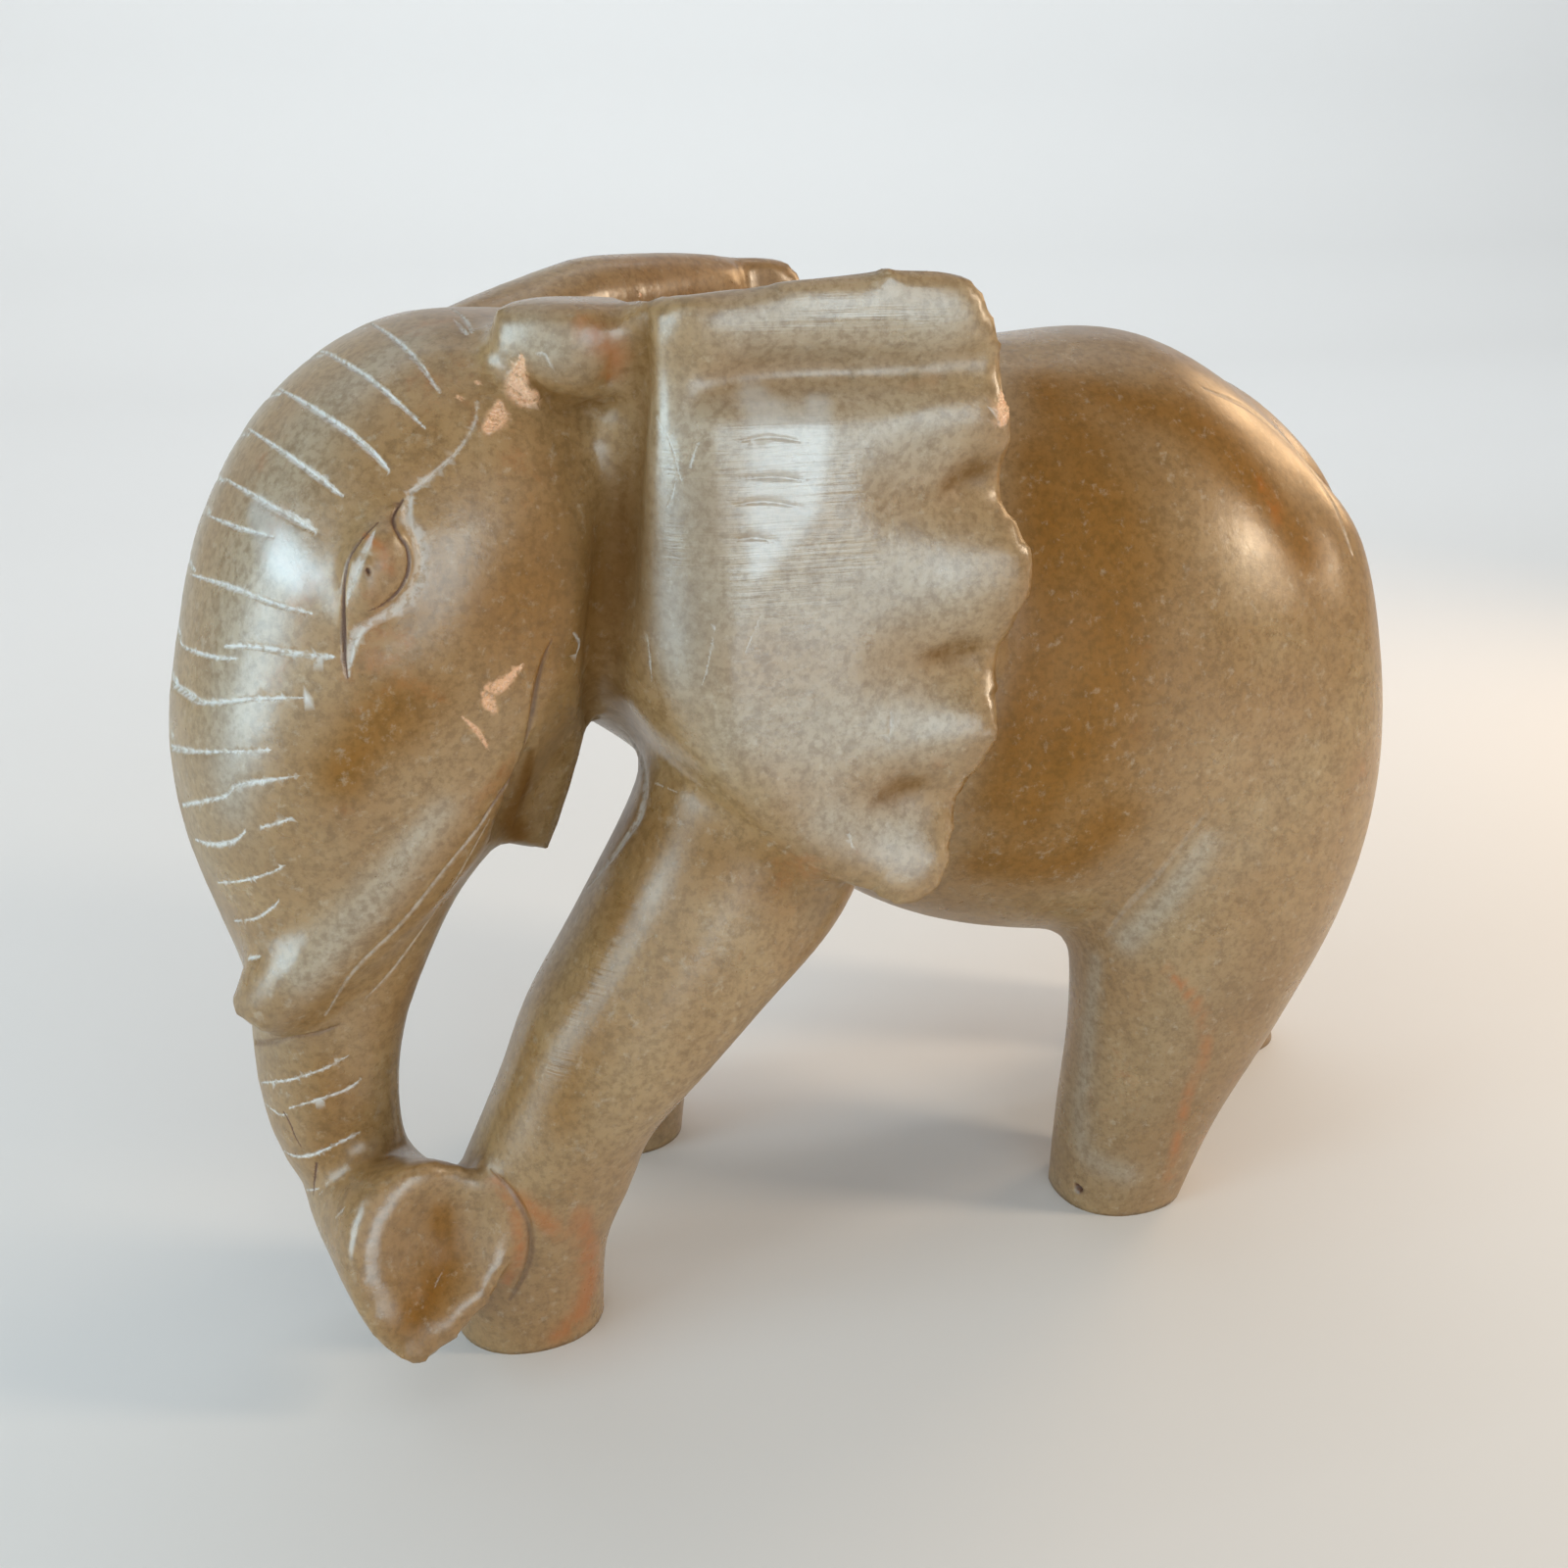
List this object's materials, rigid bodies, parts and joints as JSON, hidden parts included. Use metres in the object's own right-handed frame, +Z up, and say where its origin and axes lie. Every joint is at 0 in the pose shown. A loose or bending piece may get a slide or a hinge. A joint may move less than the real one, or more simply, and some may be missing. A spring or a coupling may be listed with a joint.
{
  "type": "carved stone elephant",
  "caption": "Walking elephant carved from one block of brown soapstone, with spread ears, tusks and a trunk curled against its forefoot; an ornament that stands on its feet.",
  "frame": {"origin": "middle of the bounding box's underside, on the ground between the feet", "axes": "+X from the head towards the rump, +Y towards the animal's right side, +Z up"},
  "size_m": [0.2216, 0.0968, 0.168],
  "materials": {
    "soapstone": "hand-sanded and polished soapstone, satin, brown with fine dark speckle and rust-brown stains"
  },
  "bodies": {
    "root": {"elephant": "soapstone"}
  },
  "joints": []
}
